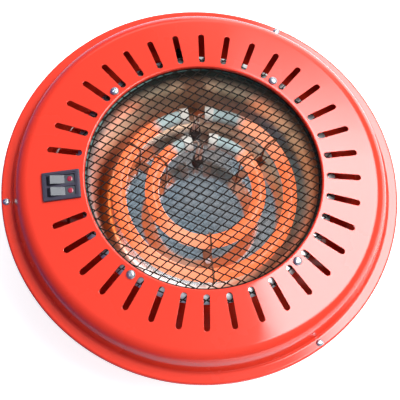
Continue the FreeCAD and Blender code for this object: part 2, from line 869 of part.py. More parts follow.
# The nut's corners meet the hollow side of the round wall, so it stands off by the wall's sagitta.
def make_gland_nut():
    corner = gland_nut_flats / math.sqrt(3)
    wall_radius = pan_floor_radius
    sagitta = wall_radius - math.sqrt(wall_radius ** 2 - corner ** 2)
    top = -pan_sheet - sagitta
    nut = hexagon(gland_nut_flats, gland_nut_height)
    nut = nut.cut(Part.makeCylinder(gland_thread_radius + gland_fit, gland_nut_height))
    nut.translate(Vector(0, 0, top - gland_nut_height))
    return placed(nut, gland_seat())


def pole_offsets():
    middle = (block_pole_count - 1) / 2
    return [(i - middle) * block_pole_pitch for i in range(block_pole_count)]


def make_terminal_block():
    length = block_pole_count * block_pole_pitch + 2 * block_end
    block = box(length, block_width, block_height, 0)
    cutters = [Part.makeCylinder(block_screw_radius + hole_fit, block_height)]
    sink_level = block_height - block_screw_head_height
    sink_radius = block_screw_head_radius + hole_fit
    cutters.append(Part.makeCylinder(sink_radius, block_height, Vector(0, 0, sink_level)))
    well = clamp_screw_radius + clamp_screw_fit
    for x in pole_offsets():
        for side in (-1, 1):
            base = Vector(x, side * clamp_screw_offset, block_height - clamp_screw_height)
            cutters.append(Part.makeCylinder(well, block_height, base))
    block = block.cut(cutters)
    block.translate(Vector(0, block_place, pan_floor_top))
    return block


def make_clamp_screws():
    screws = []
    level = pan_floor_top + block_height - clamp_screw_height
    for x in pole_offsets():
        for side in (-1, 1):
            screw = Part.makeCylinder(clamp_screw_radius, clamp_screw_height - recess_width)
            slot_level = clamp_screw_height - 2 * recess_width
            slot = box(4 * clamp_screw_radius, recess_width, recess_width, slot_level)
            screw = screw.cut(slot)
            screw.translate(Vector(x, block_place + side * clamp_screw_offset, level))
            screws.append(screw)
    return Part.makeCompound(screws)


def make_block_screw():
    length = block_height - block_screw_head_height + 4 * pan_sheet
    screw = pan_screw(block_screw_head_radius, block_screw_head_height, block_screw_radius, length)
    screw.translate(Vector(0, block_place, pan_floor_top + block_height - block_screw_head_height))
    return screw


def block_entry(pole):
    return Vector(pole_offsets()[pole], block_place - block_width / 2, pan_floor_top + lead_entry)


def lead(points):
    return tube(rounded_path(points, [lead_bend] * (len(points) - 2)), lead_radius)


# End of a switch tab, and a point straight below it in the switch's own direction.
def tab_run(index):
    x, y = tab_places()[index]
    low = -switch_body_depth - tab_length
    return switch_seat.multVec(Vector(x, y, low)), switch_seat.multVec(Vector(x, y, low - tab_drop))


def pin_foot(ring, side):
    place = bushing_places()[ring]
    return Vector(place.x + side * pin_spacing / 2, place.y, pin_end_level)


def make_live_lead():
    start, below = tab_run(0)
    level = pan_floor_top + live_lead_level
    entry = block_entry(0)
    points = [start, below, Vector(below.x + live_lead_step[0], live_lead_step[1], level)]
    points.append(Vector(live_lead_corner[0], live_lead_corner[1], level))
    points += [Vector(entry.x, entry.y - live_lead_approach, entry.z), entry]
    return lead(points)


# From a rocker's tab down to the pan floor, across it and up to a ring's pin.
def make_switched_lead(tab, ring, way):
    start, below = tab_run(tab)
    level = pan_floor_top + lead_level
    foot = pin_foot(ring, -1)
    points = [start, below, Vector(below.x + switched_lead_step, way[0], level)]
    points.append(Vector(switched_lead_corner, way[1], level))
    points += [Vector(foot.x, foot.y, level), foot]
    return lead(points)


def make_neutral_lead(pole, ring, way):
    foot = pin_foot(ring, 1)
    entry = block_entry(pole)
    points = [foot, Vector(foot.x, foot.y, entry.z), Vector(way[0], way[1], entry.z)]
    points += [Vector(entry.x, entry.y - neutral_approach, entry.z), entry]
    return lead(points)


def earth_barrel_level():
    return pan_floor_top + earth_tag_sheet / 2 + earth_barrel_radius


# A flat tag under the earth screw, with its barrel towards the terminal block.
def make_earth_tag():
    plate = Part.makeBox(
        earth_tag_length,
        earth_tag_width,
        earth_tag_sheet,
        Vector(-earth_tag_length + earth_tag_width / 2, -earth_tag_width / 2, 0),
    )
    barrel_level = earth_barrel_level() - pan_floor_top
    barrel_end = -earth_tag_length + earth_tag_width / 2 - earth_barrel_length / 2
    barrel = Part.makeCylinder(
        earth_barrel_radius,
        earth_barrel_length,
        Vector(barrel_end, 0, barrel_level),
        Vector(1, 0, 0),
    )
    hole_base = Vector(0, 0, -earth_tag_sheet)
    hole = Part.makeCylinder(earth_screw_radius + hole_fit, 4 * earth_tag_sheet, hole_base)
    tag = plate.cut(hole).fuse(barrel).removeSplitter()
    tag.translate(earth_place)
    return tag


def make_earth_lead():
    entry = block_entry(block_pole_count - 1)
    reach = earth_tag_length - earth_tag_width / 2 + earth_barrel_length / 2
    end = Vector(earth_place.x - reach, earth_place.y, earth_barrel_level())
    points = [entry, Vector(entry.x, entry.y - earth_lead_approach, entry.z)]
    points += [Vector(end.x - earth_lead_corner, end.y, end.z), end]
    return lead(points)


def make_earth_screw():
    head = (earth_screw_head_radius, earth_screw_head_height)
    screw = pan_screw(*head, earth_screw_radius, earth_screw_length)
    screw.translate(earth_place + axis * earth_tag_sheet)
    return screw


rings = {
    "outer": (outer_ring_radius, rim_level - outer_ring_drop, outer_bushing_inset),
    "inner": (inner_ring_radius, rim_level - inner_ring_drop, inner_bushing_inset),
}

save(make_top_cover(), "top_cover")
save(make_base_pan(), "base_pan")
save(make_guard_mesh(), "guard_mesh")
save(make_reflector(), "reflector")

for (ring_name, (ring_radius, ring_level, inset)), place in zip(rings.items(), bushing_places()):
    save(make_ring_tube(ring_radius, ring_level), f"{ring_name}_tube")
    save(make_coil(ring_radius, ring_level, inset), f"{ring_name}_coil")
    save(make_tube_cap(ring_radius, ring_level, False), f"{ring_name}_cap_right")
    save(make_tube_cap(ring_radius, ring_level, True), f"{ring_name}_cap_left")
    save(make_bushing(place), f"{ring_name}_bushing")
    save(make_sleeves(ring_radius, ring_level, inset), f"{ring_name}_sleeves")

for number, angle in enumerate(support_angles, 1):
    save(make_support_strap(angle), f"support_strap_{number}")
    for ring_name, (ring_radius, ring_level, inset) in rings.items():
        save(make_hook(ring_radius, ring_level, angle), f"{ring_name}_hook_{number}")
save(make_strap_rivets(), "strap_rivets")

save(make_switch_housing(), "switch_housing")
for word, side in (("one", -1), ("two", 1)):
    save(make_rocker(side), f"rocker_{word}")
    save(make_marker(side), f"marker_{word}")
save(make_switch_tabs(), "switch_tabs")

save(make_mesh_screws(), "mesh_screws")
save(make_rim_screws(), "rim_screws")

for number, place in enumerate(foot_places(), 1):
    save(make_foot(place), f"foot_{number}")
save(make_foot_screws(), "foot_screws")
save(make_foot_nuts(), "foot_nuts")

save(make_cable_gland(), "cable_gland")
save(make_gland_nut(), "gland_nut")
save(make_terminal_block(), "terminal_block")
save(make_clamp_screws(), "clamp_screws")
save(make_block_screw(), "block_screw")

save(make_live_lead(), "live_lead")
save(make_switched_lead(1, 0, outer_lead_way), "outer_lead")
save(make_switched_lead(2, 1, inner_lead_way), "inner_lead")
save(make_neutral_lead(1, 0, outer_neutral_way), "outer_neutral")
save(make_neutral_lead(2, 1, inner_neutral_way), "inner_neutral")
save(make_earth_lead(), "earth_lead")
save(make_earth_tag(), "earth_tag")
save(make_earth_screw(), "earth_screw")
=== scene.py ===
import bmesh
import bpy
import json
import math
from mathutils import Matrix, Vector


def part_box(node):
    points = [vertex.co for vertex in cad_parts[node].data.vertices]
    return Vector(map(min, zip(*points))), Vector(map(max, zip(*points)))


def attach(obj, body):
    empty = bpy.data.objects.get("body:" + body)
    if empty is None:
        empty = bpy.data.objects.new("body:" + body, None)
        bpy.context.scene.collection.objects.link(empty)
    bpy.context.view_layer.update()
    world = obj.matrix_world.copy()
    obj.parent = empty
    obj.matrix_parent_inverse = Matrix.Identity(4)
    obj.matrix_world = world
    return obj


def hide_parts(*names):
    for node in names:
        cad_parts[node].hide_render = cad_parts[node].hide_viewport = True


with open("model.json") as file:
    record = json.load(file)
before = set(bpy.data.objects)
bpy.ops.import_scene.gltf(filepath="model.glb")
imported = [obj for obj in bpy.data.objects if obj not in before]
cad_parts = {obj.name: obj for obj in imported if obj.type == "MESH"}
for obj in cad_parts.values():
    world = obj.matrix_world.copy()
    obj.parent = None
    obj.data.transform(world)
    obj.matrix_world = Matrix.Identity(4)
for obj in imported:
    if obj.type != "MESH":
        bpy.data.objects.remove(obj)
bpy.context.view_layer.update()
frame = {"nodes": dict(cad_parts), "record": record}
nodes = frame["nodes"]
print("frame loaded:", len(nodes), "nodes")

mm = 0.001
black = (0.0, 0.0, 0.0)
white = (1.0, 1.0, 1.0)

# sizes that several pieces share
brazier = {
    "rimLevel": 74 * mm,
    "switchPlace": 118.4 * mm,  # from the axis to the middle of the switch
    "switchSide": -102.7 * mm,  # the bowl and the guard end here, clear of the switch
    "mergeGap": 0.01 * mm,
    "softAngle": 40.0,  # edges sharper than this are softened
}
coverLow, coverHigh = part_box("top_cover")
coverRadius = (coverHigh.x - coverLow.x) / 2
tubeLow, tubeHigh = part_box("outer_tube")
ringCentre = Vector(((tubeLow.x + tubeHigh.x) / 2, 0.0, 0.0))


def polar(radius, degrees, level=0.0):
    turn = math.radians(degrees)
    return Vector((radius * math.cos(turn), radius * math.sin(turn), level))


# even steps from start, with the end left out
def spaced(start, end, steps):
    return [start + (end - start) * i / steps for i in range(steps)]


def newFinish(name):
    material = bpy.data.materials.new(name)
    material.use_nodes = True
    tree = material.node_tree
    return material, tree, tree.nodes["Principled BSDF"]


def addMix(tree, factor, first, second):
    mix = tree.nodes.new("ShaderNodeMix")
    mix.data_type = "RGBA"
    tree.links.new(factor, mix.inputs["Factor"])
    for socket, colour in ((mix.inputs["A"], first), (mix.inputs["B"], second)):
        if isinstance(colour, tuple):
            socket.default_value = (*colour, 1)
        else:
            tree.links.new(colour, socket)
    return mix.outputs["Result"]


# noise lies mostly between the start and the end given here
def addRange(tree, value, low, high, start=0.3, end=0.7, blend="LINEAR"):
    spread = tree.nodes.new("ShaderNodeMapRange")
    spread.interpolation_type = blend
    spread.inputs["From Min"].default_value = start
    spread.inputs["From Max"].default_value = end
    spread.inputs["To Min"].default_value = low
    spread.inputs["To Max"].default_value = high
    tree.links.new(value, spread.inputs["Value"])
    return spread.outputs["Result"]


def addVector(tree, operation, vector, other=None):
    work = tree.nodes.new("ShaderNodeVectorMath")
    work.operation = operation
    tree.links.new(vector, work.inputs[0])
    if other is not None:
        work.inputs[1].default_value = other
    return work.outputs["Value" if operation in ("DOT_PRODUCT", "LENGTH") else "Vector"]


# drops the height, so that only the place round the axis is left
def addFlat(tree, vector):
    return addVector(tree, "MULTIPLY", vector, (1, 1, 0))


def objectPlace(tree):
    return tree.nodes.new("ShaderNodeTexCoord").outputs["Object"]


# camera, fitted to the photograph: it looks at the middle of the rim
camera = {
    "lens": 107.25,
    "sensorWidth": 36.0,
    "distance": 6.0,  # in cover radii
    "forward": (0.1031, 0.3415, -0.9342),
    "right": (0.9919, -0.1051, 0.0711),
    "aimRight": -0.001376,  # small turns that put the rim in its place in the picture
    "aimUp": -0.010642,
}


def placeCamera():
    data = bpy.data.cameras.new("photoCamera")
    data.lens = camera["lens"]
    data.sensor_width = camera["sensorWidth"]
    forward = Vector(camera["forward"]).normalized()
    right = Vector(camera["right"]).normalized()
    up = right.cross(forward)
    look = (forward + right * camera["aimRight"] + up * camera["aimUp"]).normalized()
    side = look.cross(up).normalized()
    top = side.cross(look)
    obj = bpy.data.objects.new("photoCamera", data)
    bpy.context.scene.collection.objects.link(obj)
    place = Vector((0, 0, brazier["rimLevel"])) - forward * camera["distance"] * coverRadius
    turn = Matrix((side, top, -look)).transposed().to_4x4()
    obj.matrix_world = Matrix.Translation(place) @ turn
    bpy.context.scene.camera = obj


placeCamera()
print("camera placed")


# studio: a soft window high on the right, a strip and a lamp at the back, dim on the left, a pale floor
studio = {
    "windowColour": (0.96, 0.98, 1.0),
    "windowGlow": 12.5,
    "windowSide": ((1.0, 0.03, 0.0), 0.19, 0.28),  # direction, where it starts, where it is full
    "windowSill": ((0.0, 0.0, 1.0), 0.64, 0.79),
    "windowFront": ((0.0, 1.0, 0.0), -0.35, -0.12),
    "windowBack": ((0.0, -1.0, 0.0), -1.0, -0.30),
    "backStrip": (1.5, 1.7, 1.65),
    "backSide": ((0.25, 1.0, 0.0), 0.70, 0.84),
    "backSill": ((0.0, 0.0, 1.0), 0.34, 0.44),
    "backLamp": (1.7, 1.6, 1.55),
    "backSpot": ((0.42, 0.89, 0.17), 0.92, 0.975),
    "leftWall": (0.07, 0.05, 0.16),
    "rightWall": (0.34, 0.40, 0.40),
    "ceilingLeft": (0.09, 0.08, 0.22),
    "ceilingRight": (0.88, 0.88, 0.80),
    "wallTop": 0.45,  # height on the sky, 1 is overhead
    "ceilingStart": 0.85,
    "floorSize": 60.0,
    "floorColour": (0.93, 0.93, 0.93),
    "floorRough": 0.9,
    "floorGlow": 0.75,
    "bounceLeft": (0.10, 0.06, 0.20),  # what the floor gives back to the object
    "bounceRight": (0.80, 0.78, 0.80),
    "bounceGlow": (1.2, 1.2, 1.2),
    "bounceReach": 0.25,
    "panFill": 0.12,
    "panFillPlace": (0.0, 0.0, 21 * mm),
    "panFillSize": 8 * mm,
}


def softEdge(tree, direction, edge):
    towards, start, full = edge
    along = addVector(tree, "DOT_PRODUCT", direction, towards)
    return addRange(tree, along, 0.0, 1.0, start, full, "SMOOTHSTEP")


def softPane(tree, direction, edgeNames):
    pane = softEdge(tree, direction, studio[edgeNames[0]])
    for edgeName in edgeNames[1:]:
        both = tree.nodes.new("ShaderNodeMath")
        both.operation = "MULTIPLY"
        tree.links.new(pane, both.inputs[0])
        tree.links.new(softEdge(tree, direction, studio[edgeName]), both.inputs[1])
        pane = both.outputs["Value"]
    return pane


def lightStudio():
    world = bpy.data.worlds.new("softStudio")
    bpy.context.scene.world = world
    world.use_nodes = True
    tree = world.node_tree
    background = tree.nodes["Background"]
    direction = tree.nodes.new("ShaderNodeTexCoord").outputs["Generated"]
    window = softPane(tree, direction, ("windowSide", "windowSill", "windowFront", "windowBack"))
    strip = softPane(tree, direction, ("backSide", "backSill"))
    split = tree.nodes.new("ShaderNodeSeparateXYZ")
    tree.links.new(direction, split.inputs[0])
    side = addRange(tree, split.outputs["X"], 0.0, 1.0, -1.0, 1.0)  # 0 on the left, 1 on the right
    walls = addMix(tree, side, studio["leftWall"], studio["rightWall"])
    overhead = addRange(tree, split.outputs["Z"], 0.0, 1.0, studio["wallTop"], studio["ceilingStart"])
    ceiling = addMix(tree, side, studio["ceilingLeft"], studio["ceilingRight"])
    room = addMix(tree, overhead, walls, ceiling)
    room = addMix(tree, strip, room, studio["backStrip"])
    room = addMix(tree, softEdge(tree, direction, studio["backSpot"]), room, studio["backLamp"])
    lit = tuple(channel * studio["windowGlow"] for channel in studio["windowColour"])
    tree.links.new(addMix(tree, window, room, lit), background.inputs["Color"])
    bpy.context.scene.view_settings.view_transform = "Standard"


# a weak fill under the bowl, so that the vents show the painted pan behind them
def fillPan():
    lamp = bpy.data.lights.new("panFill", "POINT")
    lamp.energy = studio["panFill"]
    lamp.shadow_soft_size = studio["panFillSize"]
    obj = bpy.data.objects.new("panFill", lamp)
    obj.location = studio["panFillPlace"]
    bpy.context.scene.collection.objects.link(obj)


# the floor is pale to the eye, and gives back less light on the left than on the right
def layFloor():
    bm = bmesh.new()
    bmesh.ops.create_grid(bm, x_segments=1, y_segments=1, size=studio["floorSize"] / 2)
    mesh = bpy.data.meshes.new("studioFloor")
    bm.to_mesh(mesh)
    bm.free()
    floor = bpy.data.objects.new("studioFloor", mesh)
    bpy.context.scene.collection.objects.link(floor)
    material, tree, shader = newFinish("paleFloor")
    shader.inputs["Roughness"].default_value = studio["floorRough"]
    shader.inputs["Emission Strength"].default_value = studio["floorGlow"]
    seen = tree.nodes.new("ShaderNodeLightPath").outputs["Is Camera Ray"]
    split = tree.nodes.new("ShaderNodeSeparateXYZ")
    tree.links.new(objectPlace(tree), split.inputs[0])
    reach = studio["bounceReach"]
    side = addRange(tree, split.outputs["X"], 0.0, 1.0, -reach, reach)
    bounce = addMix(tree, side, studio["bounceLeft"], studio["bounceRight"])
    tree.links.new(addMix(tree, seen, bounce, studio["floorColour"]), shader.inputs["Base Color"])
    shine = addMix(tree, side, black, studio["bounceGlow"])
    tree.links.new(addMix(tree, seen, shine, white), shader.inputs["Emission Color"])
    mesh.materials.append(material)


lightStudio()
fillPan()
layFloor()
print("studio lit")


# shared effect: broad tone and fine height, in the object's own metres
grainDetail = {"Tone": 5.0, "Height": 3.0}


def makeGrainGroup():
    group = bpy.data.node_groups.new("surfaceGrain", "ShaderNodeTree")
    for name in grainDetail:
        group.interface.new_socket(name=name + " Scale", in_out="INPUT", socket_type="NodeSocketFloat")
        group.interface.new_socket(name=name, in_out="OUTPUT", socket_type="NodeSocketFloat")
    entry = group.nodes.new("NodeGroupInput")
    leave = group.nodes.new("NodeGroupOutput")
    place = objectPlace(group)
    for name, detail in grainDetail.items():
        noise = group.nodes.new("ShaderNodeTexNoise")
        noise.inputs["Detail"].default_value = detail
        group.links.new(place, noise.inputs["Vector"])
        group.links.new(entry.outputs[name + " Scale"], noise.inputs["Scale"])
        group.links.new(noise.outputs["Fac"], leave.inputs[name])
    return group


grainGroup = makeGrainGroup()


def addGrain(tree, toneScale, heightScale):
    grain = tree.nodes.new("ShaderNodeGroup")
    grain.node_tree = grainGroup
    grain.inputs["Tone Scale"].default_value = toneScale
    grain.inputs["Height Scale"].default_value = heightScale
    return grain


def addBump(tree, shader, height, strength, distance):
    bump = tree.nodes.new("ShaderNodeBump")
    bump.inputs["Strength"].default_value = strength
    bump.inputs["Distance"].default_value = distance
    tree.links.new(height, bump.inputs["Height"])
    tree.links.new(bump.outputs["Normal"], shader.inputs["Normal"])


# plain finishes: two tones of one colour, a roughness range and a fine grain
plainLook = {"metal": 0.0, "specular": 0.5, "coat": 0.0, "coatRough": 0.04}  # a finish may say otherwise
plainFinishes = {
    "body_red": {
        "tones": ((0.78, 0.041, 0.017), (0.73, 0.036, 0.015)), "rough": (0.20, 0.30), "coat": 1.0,
        "toneScale": 14.0, "heightScale": 420.0, "bump": (0.10, 0.05 * mm), "specular": 0.1,
    },
    "mesh_dark": {
        "tones": ((0.003, 0.0025, 0.002), (0.009, 0.005, 0.003)), "rough": (0.60, 0.80),
        "toneScale": 90.0, "heightScale": 1500.0, "bump": (0.2, 0.1 * mm), "specular": 0.2,
    },
    "coil_wire": {
        "tones": ((0.42, 0.30, 0.24), (0.30, 0.20, 0.16)), "rough": (0.35, 0.55), "metal": 1.0,
        "toneScale": 120.0, "heightScale": 1800.0, "bump": (0.2, 0.1 * mm),
    },
    "ceramic_white": {
        "tones": ((0.78, 0.75, 0.69), (0.70, 0.66, 0.58)), "rough": (0.55, 0.75),
        "toneScale": 160.0, "heightScale": 2200.0, "bump": (0.25, 0.1 * mm),
    },
    "ceramic_dark": {
        "tones": ((0.012, 0.009, 0.010), (0.030, 0.020, 0.018)), "rough": (0.50, 0.72),
        "toneScale": 160.0, "heightScale": 2200.0, "bump": (0.25, 0.1 * mm),
    },
    "support_steel": {
        "tones": ((0.30, 0.11, 0.045), (0.17, 0.065, 0.030)), "rough": (0.35, 0.55), "metal": 0.3,
        "toneScale": 140.0, "heightScale": 1600.0, "bump": (0.2, 0.1 * mm),
    },
    "zinc_steel": {
        "tones": ((0.62, 0.66, 0.70), (0.50, 0.54, 0.60)), "rough": (0.24, 0.42), "metal": 1.0,
        "toneScale": 260.0, "heightScale": 2400.0, "bump": (0.2, 0.08 * mm),
    },
    "switch_black": {
        "tones": ((0.034, 0.030, 0.050), (0.046, 0.040, 0.064)), "rough": (0.34, 0.48),
        "toneScale": 150.0, "heightScale": 3200.0, "bump": (0.25, 0.06 * mm),
    },
    "rocker_black": {
        "tones": ((0.056, 0.060, 0.070), (0.070, 0.074, 0.084)), "rough": (0.20, 0.28),
        "toneScale": 150.0, "heightScale": 3200.0, "bump": (0.15, 0.05 * mm), "specular": 0.35,
    },
    "marker_red": {
        "tones": ((0.36, 0.010, 0.036), (0.28, 0.008, 0.030)), "rough": (0.08, 0.14), "coat": 1.0,
        "toneScale": 400.0, "heightScale": 2600.0, "bump": (0.05, 0.04 * mm),
    },
    "tab_brass": {
        "tones": ((0.74, 0.55, 0.25), (0.60, 0.43, 0.20)), "rough": (0.28, 0.45), "metal": 1.0,
        "toneScale": 220.0, "heightScale": 2400.0, "bump": (0.15, 0.08 * mm),
    },
    "foot_rubber": {
        "tones": ((0.020, 0.020, 0.020), (0.034, 0.033, 0.032)), "rough": (0.62, 0.82),
        "toneScale": 110.0, "heightScale": 2600.0, "bump": (0.3, 0.1 * mm),
    },
    "gland_black": {
        "tones": ((0.024, 0.024, 0.025), (0.036, 0.036, 0.037)), "rough": (0.42, 0.58),
        "toneScale": 140.0, "heightScale": 2800.0, "bump": (0.25, 0.08 * mm),
    },
    "block_white": {
        "tones": ((0.76, 0.75, 0.71), (0.70, 0.68, 0.63)), "rough": (0.42, 0.60),
        "toneScale": 120.0, "heightScale": 2600.0, "bump": (0.2, 0.08 * mm),
    },
}
# the leads differ only in their tones
leadLook = {"rough": (0.45, 0.62), "toneScale": 150.0, "heightScale": 2400.0, "bump": (0.2, 0.08 * mm)}
leadTones = {
    "lead_brown": ((0.17, 0.065, 0.028), (0.13, 0.048, 0.020)),
    "lead_blue": ((0.030, 0.085, 0.34), (0.022, 0.062, 0.26)),
    "lead_green": ((0.13, 0.35, 0.060), (0.55, 0.50, 0.050)),
}
for leadName, tones in leadTones.items():
    plainFinishes[leadName] = {**leadLook, "tones": tones}


def plainFinish(name):
    look = {**plainLook, **plainFinishes[name]}
    material, tree, shader = newFinish(name)
    grain = addGrain(tree, look["toneScale"], look["heightScale"])
    tree.links.new(addMix(tree, grain.outputs["Tone"], *look["tones"]), shader.inputs["Base Color"])
    tree.links.new(addRange(tree, grain.outputs["Tone"], *look["rough"]), shader.inputs["Roughness"])
    shader.inputs["Metallic"].default_value = look["metal"]
    shader.inputs["Specular IOR Level"].default_value = look["specular"]
    shader.inputs["Coat Weight"].default_value = look["coat"]
    shader.inputs["Coat Roughness"].default_value = look["coatRough"]
    addBump(tree, shader, grain.outputs["Height"], *look["bump"])
    return material


# a soft mask round the axis, full near one angle
def towardsAngle(tree, unit, degrees, far, near):
    along = addVector(tree, "DOT_PRODUCT", unit, polar(1.0, degrees))
    return addRange(tree, along, 0.0, 1.0, math.cos(math.radians(far)), math.cos(math.radians(near)))


# polished bowl: spinning marks round the axis, soft waves in the sheet, a brown heat film; painted
# reflections on the wall (a warm brown for a dark room, teal and white patches, an orange tube glow) and a
# painted shade at the mouth
bowlLook = {
    "metal": (0.50, 0.64, 0.73),
    "film": (0.56, 0.49, 0.45),
    "filmSpread": (0.40, 0.75),
    "filmScale": 18.0,
    # painted reflection: a warm brown on the wall stands for a dark room mirrored in it
    "wallReflectionBrown": (0.86, 0.63, 0.46),
    # painted shade: the metal at the mouth is nearly black, a dark gap under the lip
    "mouthPaintedShade": (0.03, 0.05, 0.047),
    "flangeMetal": (0.86, 0.90, 0.92),
    "wallPaintedReflections": (  # angle and tone of each painted reflection on the wall: teal, white, and the orange glow of the tubes
        (8.0, (0.48, 0.82, 0.86)),
        (-122.0, (0.80, 0.84, 0.84)),
        (178.0, (0.38, 0.11, 0.030)),
    ),
    "reflectionSpread": (50.0, 16.0),
    "wallBand": (67 * mm, 77 * mm),  # radii where it starts and where it is full
    "mouthBand": (93.5 * mm, 96 * mm),
    "flangeBand": (100 * mm, 101.5 * mm),
    "rough": (0.07, 0.13),
    "wallRough": 0.22,  # added on the wall
    "markScale": 240.0,
    "markDetail": 3.0,
    "waveScale": 22.0,
    "waveDetail": 0.0,
    "waveBump": (0.35, 3 * mm),
}


def addNoise(tree, scale, detail):
    noise = tree.nodes.new("ShaderNodeTexNoise")
    noise.inputs["Scale"].default_value = scale
    noise.inputs["Detail"].default_value = detail
    return noise


def bowlFinish():
    material, tree, shader = newFinish("bowl_bright")
    place = objectPlace(tree)
    flat = addFlat(tree, place)
    radius = addVector(tree, "LENGTH", flat)
    unit = addVector(tree, "NORMALIZE", flat)
    marks = addNoise(tree, bowlLook["markScale"], bowlLook["markDetail"])
    marks.noise_dimensions = "1D"
    tree.links.new(radius, marks.inputs["W"])
    waves = addNoise(tree, bowlLook["waveScale"], bowlLook["waveDetail"])
    tree.links.new(place, waves.inputs["Vector"])
    grain = addGrain(tree, bowlLook["filmScale"], bowlLook["markScale"])
    film = addRange(tree, grain.outputs["Tone"], 0.0, 1.0, *bowlLook["filmSpread"])
    # the wall's tone is painted reflection: the warm brown first, then the patches at their angles
    wallPaintedTone = bowlLook["wallReflectionBrown"]
    # each patch is a painted reflection, full near its angle
    for degrees, reflectionTone in bowlLook["wallPaintedReflections"]:
        reflectionMask = towardsAngle(tree, unit, degrees, *bowlLook["reflectionSpread"])
        wallPaintedTone = addMix(tree, reflectionMask, wallPaintedTone, reflectionTone)
    wall = addRange(tree, radius, 0.0, 1.0, *bowlLook["wallBand"])
    mouthShade = addRange(tree, radius, 0.0, 1.0, *bowlLook["mouthBand"])
    flange = addRange(tree, radius, 0.0, 1.0, *bowlLook["flangeBand"])
    tone = addMix(tree, film, bowlLook["metal"], bowlLook["film"])
    tone = addMix(tree, wall, tone, wallPaintedTone)
    # painted shade: the mouth's band turns nearly black
    tone = addMix(tree, mouthShade, tone, bowlLook["mouthPaintedShade"])
    tone = addMix(tree, flange, tone, bowlLook["flangeMetal"])
    tree.links.new(tone, shader.inputs["Base Color"])
    dull = tree.nodes.new("ShaderNodeMath")
    dull.operation = "MULTIPLY_ADD"
    dull.inputs[1].default_value = bowlLook["wallRough"]
    tree.links.new(wall, dull.inputs[0])
    tree.links.new(addRange(tree, marks.outputs["Fac"], *bowlLook["rough"]), dull.inputs[2])
    tree.links.new(dull.outputs["Value"], shader.inputs["Roughness"])
    shader.inputs["Metallic"].default_value = 1.0
    addBump(tree, shader, waves.outputs["Fac"], *bowlLook["waveBump"])
    return material


# milky tube: glows orange with two paler stretches, its ends near the bushing stay cold
tubeGlow = {
    "hot": (1.0, 0.21, 0.07),
    "pale": (1.0, 0.40, 0.23),
    "hotBody": (0.40, 0.08, 0.035),
    "coldBody": (0.46, 0.58, 0.57),
    "strength": 0.95,
    "specular": 0.3,
    "fade": 7.0,  # degrees between cold and hot
    "paleAngles": (-118.0, 48.0),
    "paleSpread": (34.0, 8.0),
    "coldStretch": {"outer_tube": (89.0, 27.0), "inner_tube": (82.0, 36.0)},  # its middle and half its span
    "toneScale": 120.0,
    "heightScale": 900.0,
    "rough": (0.16, 0.28),
    "bump": (0.08, 0.08 * mm),
}


def tubeFinish(ring):
    material, tree, shader = newFinish("tube_milky_" + ring)
    about = addVector(tree, "SUBTRACT", objectPlace(tree), ringCentre)
    around = addVector(tree, "NORMALIZE", addFlat(tree, about))
    middle, half = tubeGlow["coldStretch"][ring]
    cold = towardsAngle(tree, around, middle, half + tubeGlow["fade"], half)
    light = tubeGlow["hot"]
    for degrees in tubeGlow["paleAngles"]:
        paler = towardsAngle(tree, around, degrees, *tubeGlow["paleSpread"])
        light = addMix(tree, paler, light, tubeGlow["pale"])
    body = addMix(tree, cold, tubeGlow["hotBody"], tubeGlow["coldBody"])
    tree.links.new(body, shader.inputs["Base Color"])
    tree.links.new(addMix(tree, cold, light, black), shader.inputs["Emission Color"])
    shader.inputs["Emission Strength"].default_value = tubeGlow["strength"]
    shader.inputs["Specular IOR Level"].default_value = tubeGlow["specular"]
    grain = addGrain(tree, tubeGlow["toneScale"], tubeGlow["heightScale"])
    tree.links.new(addRange(tree, grain.outputs["Tone"], *tubeGlow["rough"]), shader.inputs["Roughness"])
    addBump(tree, shader, grain.outputs["Height"], *tubeGlow["bump"])
    return material


finishes = {name: plainFinish(name) for name in plainFinishes}
finishes["bowl_bright"] = bowlFinish()
ringFinishes = {ring: tubeFinish(ring) for ring in tubeGlow["coldStretch"]}
print("finishes made:", len(finishes) + len(ringFinishes))


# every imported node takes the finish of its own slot
def dressNodes():
    for row in frame["record"]["subparts"]:
        mesh = nodes[row["node"]].data
        mesh.materials.clear()
        finish = ringFinishes.get(row["node"]) or finishes[row["material_slot"]]
        mesh.materials.append(finish)


dressNodes()
print("nodes dressed")


# a wire through the points of an outline, its inner corners rounded to the given radii
def bentWire(bm, outline, bends, segments):
    verts = [bm.verts.new((radius, 0, level)) for radius, level in outline]
    for pair in zip(verts, verts[1:]):
        bm.edges.new(pair)
    for vert, bend in zip(verts[1:-1], bends):
        arms = [edge.other_vert(vert).co - vert.co for edge in vert.link_edges]
        reach = bend / math.tan(arms[0].angle(arms[1]) / 2)
        bmesh.ops.bevel(
            bm, geom=[vert], affect="VERTICES", offset=reach, offset_type="OFFSET",
            segments=segments, profile=0.5, material=-1,
        )


def spinWire(bm, steps):
    wire = bm.verts[:] + bm.edges[:]
    bmesh.ops.spin(
        bm, geom=wire, cent=(0, 0, 0), axis=(0, 0, 1), dvec=(0, 0, 0),
        angle=2 * math.pi, steps=steps, use_merge=True,
    )


def closedLoop(bm, points):
    verts = [bm.verts.new(point) for point in points]
    return [bm.edges.new(pair) for pair in zip(verts, verts[1:] + verts[:1])]


# cuts off what lies beyond the point, square to the line from the axis
def trimBeyond(bm, point):
    everything = bm.verts[:] + bm.edges[:] + bm.faces[:]
    outwards = point.normalized()
    bmesh.ops.bisect_plane(bm, geom=everything, plane_co=point, plane_no=outwards, clear_outer=True)


# all normals agree, and the given face looks up
def faceUpwards(bm, face):
    bmesh.ops.recalc_face_normals(bm, faces=bm.faces[:])
    bm.normal_update()
    if face.normal.z < 0:
        bmesh.ops.reverse_faces(bm, faces=bm.faces[:])


